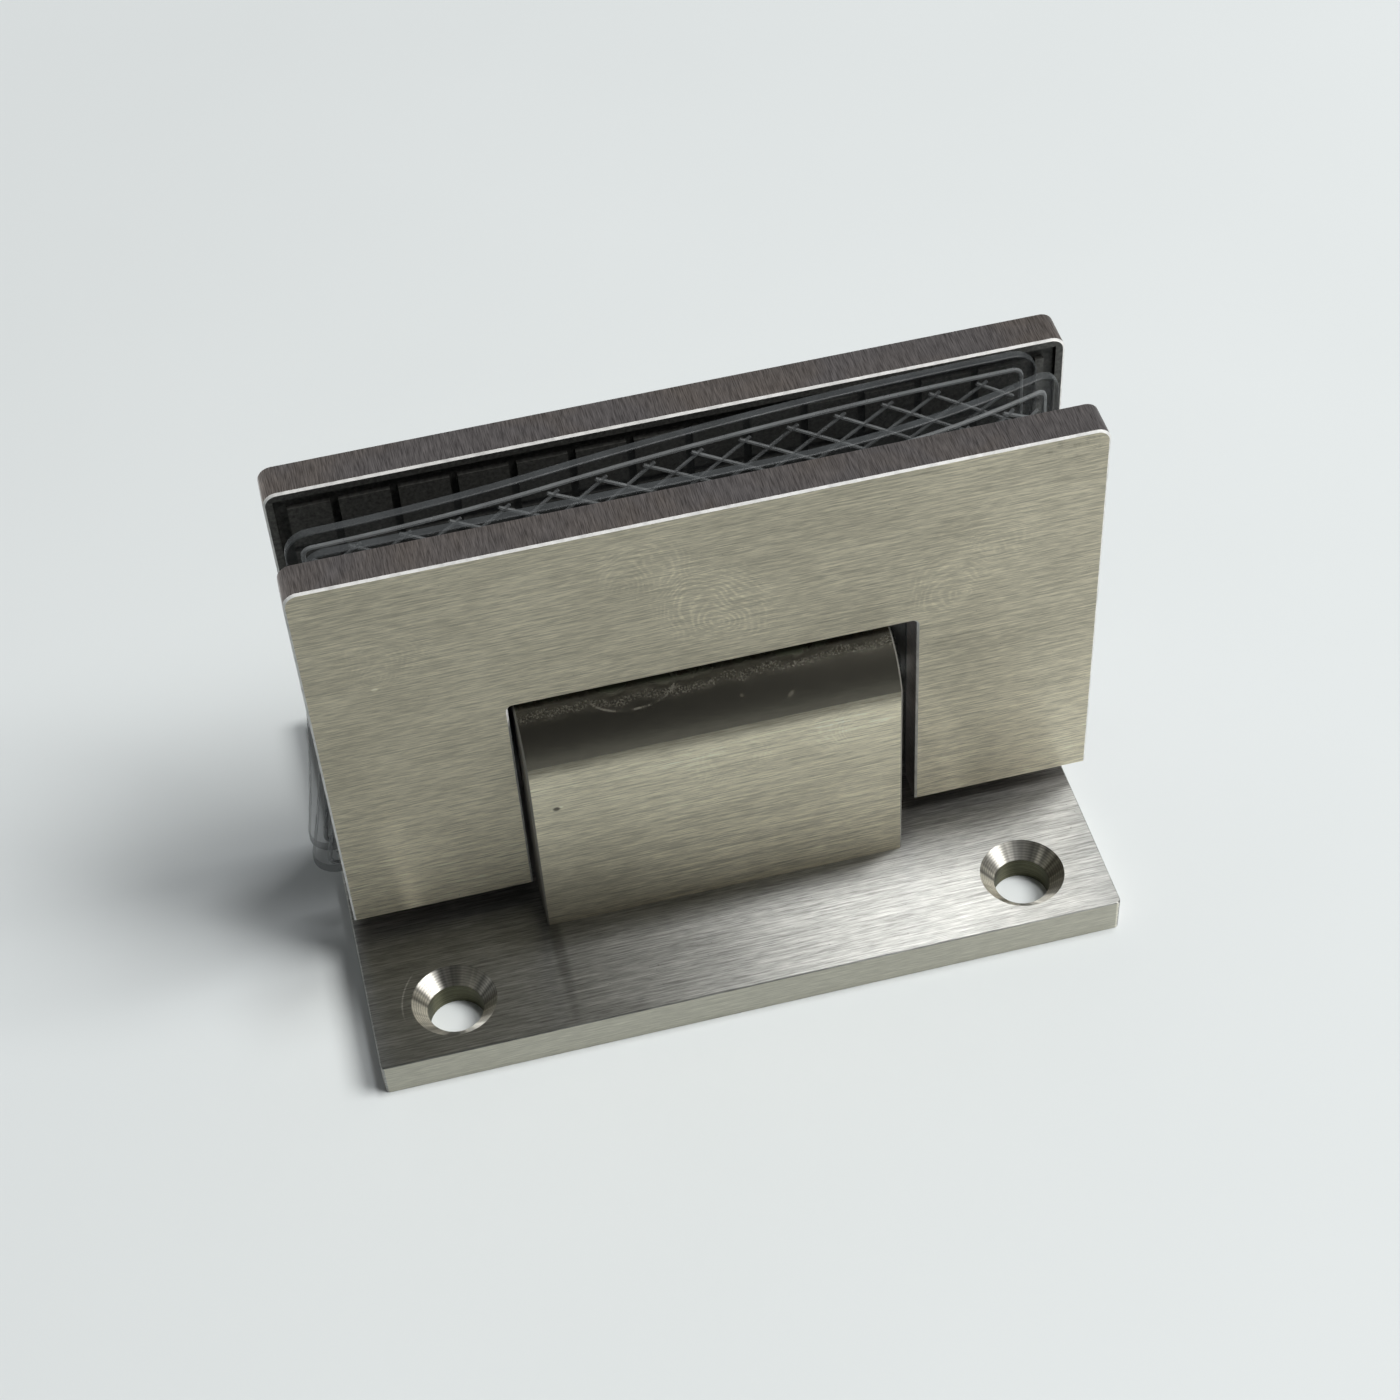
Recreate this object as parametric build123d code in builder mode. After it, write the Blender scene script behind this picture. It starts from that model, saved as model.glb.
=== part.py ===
from build123d import *
import math
import os

# Glass door hinge: a wall plate with an upright knuckle block, and a pair of notched plates
# that clamp the glass and swing about a pin through the block.
# Millimetres. Origin at the centre of the wall plate's back face, X along the hinge pin,
# Z away from the wall. The door is shut at rest, with the glass in the XZ plane.

os.makedirs("parts", exist_ok=True)

# Wall plate
plate_length = 90.0
plate_depth = 60.0
plate_thickness = 4.8
plate_corner_radius = 0.6
plate_edge_break = 0.12
wall_hole_end_inset = 10.0
wall_hole_side_inset = 7.5
wall_hole_diameter = 6.7
wall_countersink_diameter = 10.2

# Knuckle block: flat sides and a top with rounded shoulders, centred on the pin
block_length = 44.2
nose_reach = 14.8
shoulder_radius = 8.2
shoulder_height = 5.7
pivot_height = 24.2
block_edge_break = 0.2

# Pin, bushes and the sprung block that holds the door at its stops
pin_diameter = 8.0
running_clearance = 0.05
pin_end_inset = 0.6
stop_flat_depth = 0.4
stop_clearance = 0.1
bush_wall = 2.0
bush_length = 9.0
bush_flange_thickness = 0.5
bush_flange_width = 1.4
bush_flange_clearance = 0.1
bush_fit = 0.02
bore_relief = 0.6
pressure_block_length = 24.0
pressure_block_depth = 16.0
pressure_block_height = 5.6
pocket_clearance = 0.3
pocket_corner_radius = 2.0
spring_diameter = 8.4
spring_wire = 1.8
spring_wire_height = 1.4
spring_spacing = 12.4
spring_turns = 3.5
spring_seat_depth = 1.4
spring_clearance = 0.3

# Screws that hold the block to the wall plate, from its back
block_screw_diameter = 6.0
block_screw_head = 11.0
block_screw_bush_gap = 3.2
block_screw_spacing = 34.6
block_screw_socket = 4.0

# Clamp plates
clamp_width = 91.5
clamp_bottom = 7.9
clamp_top = 63.5
clamp_thickness = 4.8
glass_gap = 11.0
clamp_corner_radius = 1.7
clamp_edge_break = 0.25
notch_side_gap = 1.8
notch_top_gap = 0.5
notch_corner_radius = 0.6
relief_clearance = 0.2
side_float = notch_side_gap - bush_flange_thickness - bush_flange_clearance

# Grip pattern on the clamp plates' inner faces: a rim, a groove and square tiles
grip_rim = 1.1
grip_groove = 0.9
grip_margin = 2.5
grip_pitch = 6.65
grip_first_tile = 4.8
grip_depth = 0.6

# Lugs on the rear clamp plate, which carry the pin
lug_width = 10.2
lug_foot = 0.6
lug_rise = 2.6
lug_corner_radius = 1.0

# Clamp screws and pin set screws
clamp_screw_diameter = 5.0
clamp_screw_head = 9.2
clamp_screw_inset = 5.4
clamp_screw_margin = 5.2
clamp_screw_skin = 0.9
clamp_screw_socket = 3.0
set_screw_diameter = 5.0
set_screw_socket = 2.5
set_flat_depth = 0.4
set_flat_length = 6.0
screw_clearance = 0.06
screw_recess = 0.15
clearance_hole_gap = 0.15
tip_bevel = 0.5

# Clear gaskets, loose in the gap and bowed, with their legs splayed by the lugs
gasket_thickness = 1.1
gasket_width = 86.4
gasket_top_margin = 0.2
gasket_corner_radius = 2.9
gasket_leg_corner_radius = 3.0
gasket_foot = 3.3
gasket_clearance = 0.25
gasket_notch_gap = 1.4
bead_inset = 1.9
bead_width = 0.5
bead_height = 0.25
bead_root = 0.12
front_gasket_shift = 1.4
front_gasket_splay = 6.7
front_bow_start = 10.0
front_bow_radius = 110.0
rear_gasket_shift = 0.0
rear_gasket_splay = 5.1
rear_bow_start = -44.0
rear_bow_left = -1.0
rear_bow_turn = -14.0
rear_bow_end = 42.0

# Places that follow from the sizes above
block_half = block_length / 2
nose_top = pivot_height + nose_reach
shoulder_foot = nose_top - shoulder_height
shoulder_run = math.sqrt(2 * shoulder_radius * shoulder_height - shoulder_height**2)
shoulder_start = nose_reach - shoulder_run
shoulder_sweep = shoulder_radius + math.hypot(shoulder_start, nose_reach - shoulder_radius)
bush_outer_radius = pin_diameter / 2 + bush_wall
notch_half = block_half + notch_side_gap
notch_top = nose_top + notch_top_gap
clamp_half = clamp_width / 2
gap_half = glass_gap / 2
relief_radius = shoulder_sweep + relief_clearance
relief_top = pivot_height + math.sqrt(relief_radius**2 - gap_half**2)
clamp_face = gap_half + clamp_thickness
lug_outer = notch_half + lug_width
lug_bottom = clamp_bottom + lug_foot
lug_top = notch_top + lug_rise
screw_offset = notch_half + clamp_screw_inset
gasket_half = gasket_width / 2
gasket_top = clamp_top - gasket_top_margin
gasket_inner = lug_outer + side_float - rear_gasket_shift + gasket_clearance
gasket_reach = gasket_half + front_gasket_shift + front_gasket_splay + gasket_thickness
block_screw_length = pivot_height - bush_outer_radius - block_screw_bush_gap
gasket_notch = lug_top + gasket_notch_gap
gasket_rear_y = gap_half - gasket_clearance - gasket_thickness / 2
gasket_front_y = -gap_half + gasket_clearance + bead_height + gasket_thickness / 2
rear_bow_slope = (gasket_rear_y - rear_bow_left) / (rear_bow_end - rear_bow_start)
rear_bow_turn_y = rear_bow_left + (rear_bow_turn - rear_bow_start) * rear_bow_slope


def centred_on_clamp(x):
    """Place along the pin, measured from the middle of the clamp plates."""
    return x + side_float


def countersunk_screw(face_point, outward, diameter, head, length, socket):
    """Flat-head screw with a hexagon socket; its head lies just under face_point."""
    seat = Plane(origin=face_point, z_dir=outward)
    radius = diameter / 2
    head_radius = head / 2
    head_height = head_radius - radius
    profile_plane = Plane(origin=face_point, x_dir=seat.x_dir, z_dir=-seat.y_dir)
    with BuildPart() as screw:
        with BuildSketch(profile_plane):
            with BuildLine():
                Polyline(
                    (0, -screw_recess),
                    (head_radius, -screw_recess),
                    (radius, -screw_recess - head_height),
                    (radius, -length + tip_bevel),
                    (radius - tip_bevel, -length),
                    (0, -length),
                    close=True,
                )
            make_face()
        revolve(axis=Axis(face_point, outward))
        with BuildSketch(seat.offset(-screw_recess)):
            RegularPolygon(socket / math.sqrt(3), 6)
        extrude(amount=-head_height, mode=Mode.SUBTRACT)
    return screw


def clamp_outline(inset, notch_level):
    """U-shaped outline of a clamp plate, drawn inset from its edges and its notch's level."""
    half = clamp_half - inset
    inner = notch_half + inset
    Polyline(
        (-half, clamp_bottom + inset),
        (-half, clamp_top - inset),
        (half, clamp_top - inset),
        (half, clamp_bottom + inset),
        (inner, clamp_bottom + inset),
        (inner, notch_level + inset),
        (-inner, notch_level + inset),
        (-inner, clamp_bottom + inset),
        close=True,
    )


# Wall plate: four countersunk holes for the wall screws, two in the back for the block
with BuildPart() as wall_plate:
    with BuildSketch():
        RectangleRounded(plate_length, plate_depth, plate_corner_radius)
    extrude(amount=plate_thickness)
    chamfer(wall_plate.edges().group_by(Axis.Z)[-1], plate_edge_break)
    with Locations((0, 0, plate_thickness)):
        with GridLocations(
            plate_length - 2 * wall_hole_end_inset, plate_depth - 2 * wall_hole_side_inset, 2, 2
        ):
            CounterSinkHole(wall_hole_diameter / 2, wall_countersink_diameter / 2, counter_sink_angle=90)
    with Locations(Plane(origin=(0, 0, 0), z_dir=(0, 0, -1))):
        with GridLocations(block_screw_spacing, 0, 2, 1):
            CounterSinkHole(
                block_screw_diameter / 2 + clearance_hole_gap,
                block_screw_head / 2 + screw_recess + screw_clearance,
                counter_sink_angle=90,
            )
wall_plate.part.label = "wall_plate"
export_step(wall_plate.part, "parts/wall_plate.step")

# Knuckle block: a pocket for the springs opens downwards, and the pin's bore runs through
spring_top = pivot_height - pin_diameter / 2 - stop_clearance - pressure_block_height
block_screw_depth = block_screw_length + 1.0
with BuildSketch() as block_profile:
    with BuildLine():
        top = Line((-shoulder_start, nose_top), (shoulder_start, nose_top))
        front = TangentArc(top @ 0, (-nose_reach, shoulder_foot), tangent=(-1, 0))
        rear = TangentArc(top @ 1, (nose_reach, shoulder_foot), tangent=(1, 0))
        Polyline(front @ 1, (-nose_reach, plate_thickness), (nose_reach, plate_thickness), rear @ 1)
    make_face()
with BuildPart() as knuckle_block:
    with BuildSketch(Plane.YZ):
        add(block_profile.sketch)
    extrude(amount=block_half, both=True)
    end_faces = knuckle_block.faces().sort_by(Axis.X)
    chamfer(end_faces[0].edges() + end_faces[-1].edges(), block_edge_break)
    with BuildSketch(Plane.XY.offset(plate_thickness)):
        RectangleRounded(
            pressure_block_length + 2 * pocket_clearance,
            pressure_block_depth + 2 * pocket_clearance,
            pocket_corner_radius,
        )
    extrude(amount=pivot_height - plate_thickness, mode=Mode.SUBTRACT)
    with BuildSketch(Plane.YZ):
        with Locations((0, pivot_height)):
            Circle(pin_diameter / 2 + bore_relief)
    extrude(amount=block_half, both=True, mode=Mode.SUBTRACT)
    with BuildSketch(Plane.YZ.offset(block_half), Plane.YZ.offset(bush_length - block_half)):
        with Locations((0, pivot_height)):
            Circle(bush_outer_radius)
    extrude(amount=-bush_length, mode=Mode.SUBTRACT)
    with BuildSketch(Plane.XY.offset(plate_thickness)):
        with GridLocations(block_screw_spacing, 0, 2, 1):
            Circle(block_screw_diameter / 2 + screw_clearance)
    extrude(amount=block_screw_depth - plate_thickness, mode=Mode.SUBTRACT)
knuckle_block.part.label = "knuckle_block"
export_step(knuckle_block.part, "parts/knuckle_block.step")

# Screws from the wall plate's back into the block
for side, name in ((-1, "left"), (1, "right")):
    block_screw = countersunk_screw(
        (side * block_screw_spacing / 2, 0, 0),
        (0, 0, -1),
        block_screw_diameter,
        block_screw_head,
        block_screw_length,
        block_screw_socket,
    )
    block_screw.part.label = f"block_screw_{name}"
    export_step(block_screw.part, f"parts/block_screw_{name}.step")

# Flanged bushes in the ends of the block
for side, name in ((-1, "left"), (1, "right")):
    with BuildPart() as pin_bush:
        with BuildSketch(Plane(origin=(side * block_half, 0, pivot_height), z_dir=(side, 0, 0))):
            Circle(bush_outer_radius - bush_fit)
        extrude(amount=-bush_length)
        with BuildSketch(Plane(origin=(side * block_half, 0, pivot_height), z_dir=(side, 0, 0))):
            Circle(bush_outer_radius + bush_flange_width)
        extrude(amount=bush_flange_thickness)
        with BuildSketch(Plane.YZ):
            with Locations((0, pivot_height)):
                Circle(pin_diameter / 2 + running_clearance)
        extrude(amount=side * (block_half + bush_flange_thickness), mode=Mode.SUBTRACT)
    pin_bush.part.label = f"pin_bush_{name}"
    export_step(pin_bush.part, f"parts/pin_bush_{name}.step")

# Pin: three stop flats inside the block, and a flat at each end for its set screw
pin_half = lug_outer - pin_end_inset
stop_flat_length = pressure_block_length + 2 * pocket_clearance
with BuildPart() as pivot_pin:
    with BuildSketch(Plane.YZ.offset(centred_on_clamp(-pin_half))):
        with Locations((0, pivot_height)):
            Circle(pin_diameter / 2)
    extrude(amount=2 * pin_half)
    chamfer(pivot_pin.edges().filter_by(GeomType.CIRCLE), tip_bevel)
    flat_plane = Plane.YZ.offset(-stop_flat_length / 2)
    with BuildSketch(flat_plane):
        with Locations((0, pivot_height)):
            with PolarLocations(pin_diameter - stop_flat_depth, 3, start_angle=180, angular_range=180):
                Rectangle(pin_diameter, pin_diameter)
    extrude(amount=stop_flat_length, mode=Mode.SUBTRACT)
    with BuildSketch(Plane.XY.offset(pivot_height - pin_diameter / 2)):
        with Locations((side_float, pin_diameter - set_flat_depth)):
            with GridLocations(2 * screw_offset, 0, 2, 1):
                Rectangle(set_flat_length, pin_diameter)
    extrude(amount=pin_diameter, mode=Mode.SUBTRACT)
pivot_pin.part.label = "pivot_pin"
export_step(pivot_pin.part, "parts/pivot_pin.step")

# Pressure block under the pin, with seats for its two springs
with BuildPart() as pressure_block:
    with BuildSketch(Plane.XY.offset(spring_top)):
        RectangleRounded(pressure_block_length, pressure_block_depth, pocket_corner_radius)
    extrude(amount=pressure_block_height)
    chamfer(pressure_block.edges().group_by(Axis.Z)[-1], tip_bevel)
    with BuildSketch(Plane.XY.offset(spring_top)):
        with GridLocations(spring_spacing, 0, 2, 1):
            Circle(spring_diameter / 2 + spring_clearance)
    extrude(amount=spring_seat_depth, mode=Mode.SUBTRACT)
pressure_block.part.label = "pressure_block"
export_step(pressure_block.part, "parts/pressure_block.step")

# Flat-wire coil springs between the wall plate and the pressure block, with ground ends
spring_length = spring_top + spring_seat_depth - plate_thickness
spring_radius = (spring_diameter - spring_wire) / 2
for side, name in ((-1, "left"), (1, "right")):
    with BuildPart() as spring:
        with BuildLine() as coil:
            Helix(
                pitch=spring_length / spring_turns,
                height=spring_length,
                radius=spring_radius,
                center=(side * spring_spacing / 2, 0, plate_thickness),
            )
        with BuildSketch(Plane(origin=coil.line @ 0, x_dir=(1, 0, 0), z_dir=coil.line % 0)):
            Rectangle(spring_wire, spring_wire_height)
        sweep(is_frenet=True)
        with BuildSketch(Plane.XY.offset(plate_thickness)):
            with Locations((side * spring_spacing / 2, 0)):
                Circle(spring_diameter)
        extrude(amount=spring_length, mode=Mode.INTERSECT)
    spring.part.label = f"centring_spring_{name}"
    export_step(spring.part, f"parts/centring_spring_{name}.step")


def clamp_plate_body(inner_y, outward):
    """Plate with broken edges; outward is -1 for the front plate and 1 for the rear one."""
    face = Plane(origin=(side_float, inner_y, 0), x_dir=(1, 0, 0), z_dir=(0, -1, 0))
    with BuildPart() as body:
        with BuildSketch(face):
            with BuildLine():
                clamp_outline(0, notch_top)
            make_face()
        extrude(amount=-outward * clamp_thickness)
        upright = body.edges().filter_by(Axis.Y)
        outer = upright.group_by(Axis.Z)[-1]
        fillet(outer, clamp_corner_radius)
        notch_corners = (
            body.edges().filter_by(Axis.Y).filter_by_position(Axis.Z, notch_top - 0.1, notch_top + 0.1)
        )
        fillet(notch_corners, notch_corner_radius)
        chamfer(body.edges().group_by(Axis.Y)[0], clamp_edge_break)
        chamfer(body.edges().group_by(Axis.Y)[-1], clamp_edge_break)
        # Relief behind the notch's lip, round the pin, that the block's shoulders pass through
        with BuildSketch(Plane.YZ.offset(centred_on_clamp(-notch_half))):
            with Locations((0, pivot_height)):
                Circle(relief_radius)
        extrude(amount=2 * notch_half, mode=Mode.SUBTRACT)
        # Grip pattern
        with BuildSketch(face):
            with BuildLine():
                clamp_outline(grip_rim, relief_top)
            make_face()
            with BuildLine():
                clamp_outline(grip_margin, relief_top)
            make_face(mode=Mode.SUBTRACT)
        extrude(amount=-outward * grip_depth, mode=Mode.SUBTRACT)
        columns = math.ceil(clamp_width / grip_pitch)
        rows = math.ceil((clamp_top - clamp_bottom) / grip_pitch)
        first_groove_x = -clamp_half + grip_margin + grip_first_tile + grip_groove / 2
        first_groove_z = clamp_top - grip_margin - (grip_pitch - grip_groove / 2)
        with BuildSketch(face):
            with BuildLine():
                clamp_outline(grip_margin, relief_top)
            make_face()
            with BuildSketch(face, mode=Mode.INTERSECT):
                for column in range(columns):
                    with Locations((first_groove_x + column * grip_pitch, (clamp_top + clamp_bottom) / 2)):
                        Rectangle(grip_groove, clamp_top - clamp_bottom)
                for row in range(rows):
                    with Locations((0, first_groove_z - row * grip_pitch)):
                        Rectangle(clamp_width, grip_groove)
        extrude(amount=-outward * grip_depth, mode=Mode.SUBTRACT)
    return body


lower_screw = lug_bottom + clamp_screw_margin
upper_screw = lug_top - clamp_screw_margin
screw_places = [
    (centred_on_clamp(side * screw_offset), height) for side in (-1, 1) for height in (lower_screw, upper_screw)
]
front_base = clamp_plate_body(-gap_half, -1)
rear_base = clamp_plate_body(gap_half, 1)
thread_depth = clamp_thickness - clamp_screw_skin

# Front clamp plate, tapped from its inner face so that its front stays plain
with BuildPart() as front_clamp_plate:
    add(front_base.part)
    with BuildSketch(Plane(origin=(0, -gap_half, 0), x_dir=(1, 0, 0), z_dir=(0, -1, 0))):
        with Locations(*screw_places):
            Circle(clamp_screw_diameter / 2 + screw_clearance)
    extrude(amount=thread_depth, mode=Mode.SUBTRACT)
front_clamp_plate.part.label = "front_clamp_plate"
export_step(front_clamp_plate.part, "parts/front_clamp_plate.step")

# Rear clamp plate, with its two lugs, the pin's bore and the screw holes
with BuildPart() as rear_clamp_plate:
    add(rear_base.part)
    with BuildSketch(Plane(origin=(side_float, gap_half + grip_depth, 0), x_dir=(1, 0, 0), z_dir=(0, -1, 0))):
        with Locations((0, (lug_bottom + lug_top) / 2)):
            with GridLocations(2 * notch_half + lug_width, 0, 2, 1):
                RectangleRounded(lug_width, lug_top - lug_bottom, lug_corner_radius)
    extrude(amount=glass_gap + grip_depth)
    with BuildSketch(Plane.YZ.offset(centred_on_clamp(-lug_outer))):
        with Locations((0, pivot_height)):
            Circle(pin_diameter / 2 + running_clearance)
    extrude(amount=2 * lug_outer, mode=Mode.SUBTRACT)
    back = Plane(origin=(0, clamp_face, 0), x_dir=(-1, 0, 0), z_dir=(0, 1, 0))
    with Locations(back):
        with Locations(*[(-x, z) for x, z in screw_places]):
            CounterSinkHole(
                clamp_screw_diameter / 2 + clearance_hole_gap,
                clamp_screw_head / 2 + screw_recess + screw_clearance,
                counter_sink_angle=90,
            )
    with BuildSketch(back):
        with Locations((-side_float, pivot_height)):
            with GridLocations(2 * screw_offset, 0, 2, 1):
                Circle(set_screw_diameter / 2 + screw_clearance)
    extrude(amount=-clamp_face, mode=Mode.SUBTRACT)
rear_clamp_plate.part.label = "rear_clamp_plate"
export_step(rear_clamp_plate.part, "parts/rear_clamp_plate.step")

# Clamp screws from the rear plate, through the lugs and into the front plate
clamp_screw_length = clamp_face + gap_half + thread_depth - 2 * screw_recess
for index, name in enumerate(("lower_left", "upper_left", "lower_right", "upper_right")):
    x, z = screw_places[index]
    clamp_screw = countersunk_screw(
        (x, clamp_face, z),
        (0, 1, 0),
        clamp_screw_diameter,
        clamp_screw_head,
        clamp_screw_length,
        clamp_screw_socket,
    )
    clamp_screw.part.label = f"clamp_screw_{name}"
    export_step(clamp_screw.part, f"parts/clamp_screw_{name}.step")

# Set screws that lock the pin in the lugs
set_screw_length = clamp_face - screw_recess - (pin_diameter / 2 - set_flat_depth) - screw_clearance
for side, name in ((-1, "left"), (1, "right")):
    head_plane = Plane(
        origin=(centred_on_clamp(side * screw_offset), clamp_face - screw_recess, pivot_height),
        z_dir=(0, 1, 0),
    )
    with BuildPart() as set_screw:
        with BuildSketch(head_plane):
            Circle(set_screw_diameter / 2)
        extrude(amount=-set_screw_length)
        chamfer(set_screw.edges().filter_by(GeomType.CIRCLE), tip_bevel)
        with BuildSketch(head_plane):
            RegularPolygon(set_screw_socket / math.sqrt(3), 6)
        extrude(amount=-set_screw_diameter / 2, mode=Mode.SUBTRACT)
    set_screw.part.label = f"pin_set_screw_{name}"
    export_step(set_screw.part, f"parts/pin_set_screw_{name}.step")


def rear_bow(shift):
    """S-shaped line of the rear gasket, seen from above, moved by shift across the gap."""
    left = Line((-gasket_reach, rear_bow_left + shift), (rear_bow_start, rear_bow_left + shift))
    rise = TangentArc(left @ 1, (rear_bow_turn, rear_bow_turn_y + shift), tangent=left % 1)
    settle = TangentArc(rise @ 1, (rear_bow_end, gasket_rear_y + shift), tangent=rise % 1)
    Line(settle @ 1, (gasket_reach, gasket_rear_y + shift))


def front_bow(shift):
    """Line of the front gasket: flat along the plate, then curling in towards the right."""
    flat = Line((-gasket_reach, gasket_front_y + shift), (front_bow_start, gasket_front_y + shift))
    run = gasket_reach - front_bow_start
    rise = front_bow_radius - math.sqrt(front_bow_radius**2 - run**2)
    TangentArc(flat @ 1, (gasket_reach, gasket_front_y + rise + shift), tangent=flat % 1)


def gasket_outline(inset, splay):
    """Outline of a gasket, drawn inset from its edges: a bridge with two splayed legs."""
    top = gasket_top - inset
    notch = gasket_notch + inset
    foot = clamp_bottom + gasket_foot + inset
    slope = splay / (gasket_top - clamp_bottom - gasket_foot)
    outer = gasket_half - inset
    inner = gasket_inner + inset
    outer_foot = outer + (top - foot) * slope
    inner_foot = inner + (notch - foot) * slope
    right = [(outer, top), (outer_foot, foot), (inner_foot, foot), (inner, notch)]
    left = [(-x, z) for x, z in reversed(right)]
    Polyline(*left, *right, close=True)


def gasket_face(inset, splay):
    """Face of the gasket's outline with its top corners and leg ends rounded."""
    with BuildSketch() as face:
        with BuildLine():
            gasket_outline(inset, splay)
        make_face()
        corners = face.vertices().group_by(Axis.Y)
        fillet(corners[-1], gasket_corner_radius - inset)
        corners = face.vertices().group_by(Axis.Y)
        fillet(corners[0], gasket_leg_corner_radius - inset)
    return face.sketch


def bowed_sheet(bow, shift, thickness):
    """Upright sheet that follows a gasket's bow."""
    with BuildPart() as sheet:
        with BuildSketch():
            with BuildLine():
                bow(shift)
            trace(line_width=thickness)
        extrude(amount=clamp_top)
    return sheet.part


# Gaskets, each with a bead inside its edge on the front face
for name, bow, centre, splay in (
    ("front", front_bow, front_gasket_shift, front_gasket_splay),
    ("rear", rear_bow, rear_gasket_shift, rear_gasket_splay),
):
    gasket_plane = Plane(origin=(centre, 0, 0), x_dir=(1, 0, 0), z_dir=(0, -1, 0))
    bead_sheet = bead_height + bead_root
    bead_shift = (bead_root - gasket_thickness - bead_height) / 2
    with BuildPart() as bead:
        with BuildSketch(gasket_plane):
            add(gasket_face(bead_inset - bead_width / 2, splay))
            add(gasket_face(bead_inset + bead_width / 2, splay), mode=Mode.SUBTRACT)
        extrude(amount=glass_gap, both=True)
        add(bowed_sheet(bow, bead_shift, bead_sheet), mode=Mode.INTERSECT)
    with BuildPart() as gasket:
        with BuildSketch(gasket_plane):
            add(gasket_face(0, splay))
        extrude(amount=glass_gap, both=True)
        add(bowed_sheet(bow, 0, gasket_thickness), mode=Mode.INTERSECT)
        add(bead.part)
    gasket.part.label = f"{name}_gasket"
    export_step(gasket.part, f"parts/{name}_gasket.step")
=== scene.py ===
import math
import bmesh
import bpy
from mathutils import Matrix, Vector

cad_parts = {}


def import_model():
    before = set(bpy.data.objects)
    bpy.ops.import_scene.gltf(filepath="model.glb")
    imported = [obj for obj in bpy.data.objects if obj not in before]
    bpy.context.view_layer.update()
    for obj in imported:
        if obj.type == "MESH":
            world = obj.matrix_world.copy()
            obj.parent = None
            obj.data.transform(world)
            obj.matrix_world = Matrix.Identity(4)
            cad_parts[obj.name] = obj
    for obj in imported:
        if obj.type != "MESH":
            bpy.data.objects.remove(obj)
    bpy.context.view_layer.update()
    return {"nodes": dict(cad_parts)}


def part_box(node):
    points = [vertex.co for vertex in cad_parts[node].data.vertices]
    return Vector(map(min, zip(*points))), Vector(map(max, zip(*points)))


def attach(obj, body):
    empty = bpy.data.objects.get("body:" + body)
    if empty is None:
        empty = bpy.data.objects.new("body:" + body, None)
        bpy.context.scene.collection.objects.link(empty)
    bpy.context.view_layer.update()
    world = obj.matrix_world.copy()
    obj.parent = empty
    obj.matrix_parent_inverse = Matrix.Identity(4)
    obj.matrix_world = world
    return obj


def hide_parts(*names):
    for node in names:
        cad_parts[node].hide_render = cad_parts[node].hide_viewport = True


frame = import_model()
nodes = frame["nodes"]

MM = 0.001
PER_MM = 1000.0

# Places read from the frame, in millimetres
front_low, front_high = [[v * PER_MM for v in corner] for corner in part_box("front_clamp_plate")]
plate_low, plate_high = [[v * PER_MM for v in corner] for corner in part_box("wall_plate")]
block_front = -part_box("knuckle_block")[1][1] * PER_MM
clamp_inner = -front_high[1]
clamp_outer = -front_low[1]
clamp_top = front_high[2]
clamp_foot = front_low[2]
plate_top = plate_high[2]

# The source's sizes that the finishes and the gaskets follow, in millimetres
WALL_HOLE = (plate_high[0] - 10.0, plate_high[1] - 7.5)
COUNTERSINK_RADIUS = 5.1
NOSE_LINE = 33.3
GASKET_THICKNESS = 1.1
GASKET_HALF = 43.2
GASKET_INNER = 35.55
GASKET_TOP = clamp_top - 0.2
GASKET_FOOT = clamp_foot + 3.3
GASKET_NOTCH = 43.5
GASKET_CORNER = 2.9
GASKET_LEG_CORNER = 3.0
GASKET_RIM = 0.16
BEAD_INSET = 1.9
BEAD_WIDTH = 0.5
BEAD_HEIGHT = 0.25
LATTICE_INSET = 2.75
LATTICE_PITCH = 5.566
LATTICE_ROW = 1.9
LATTICE_WIDTH = 0.38
LATTICE_HEIGHT = 0.2
LATTICE_LEVEL = 60.1

# Distances from the middle of the table, in millimetres: lit by the lamps, and plainly pale
TABLE_LIT = 150.0
TABLE_FAR = 480.0


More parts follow.
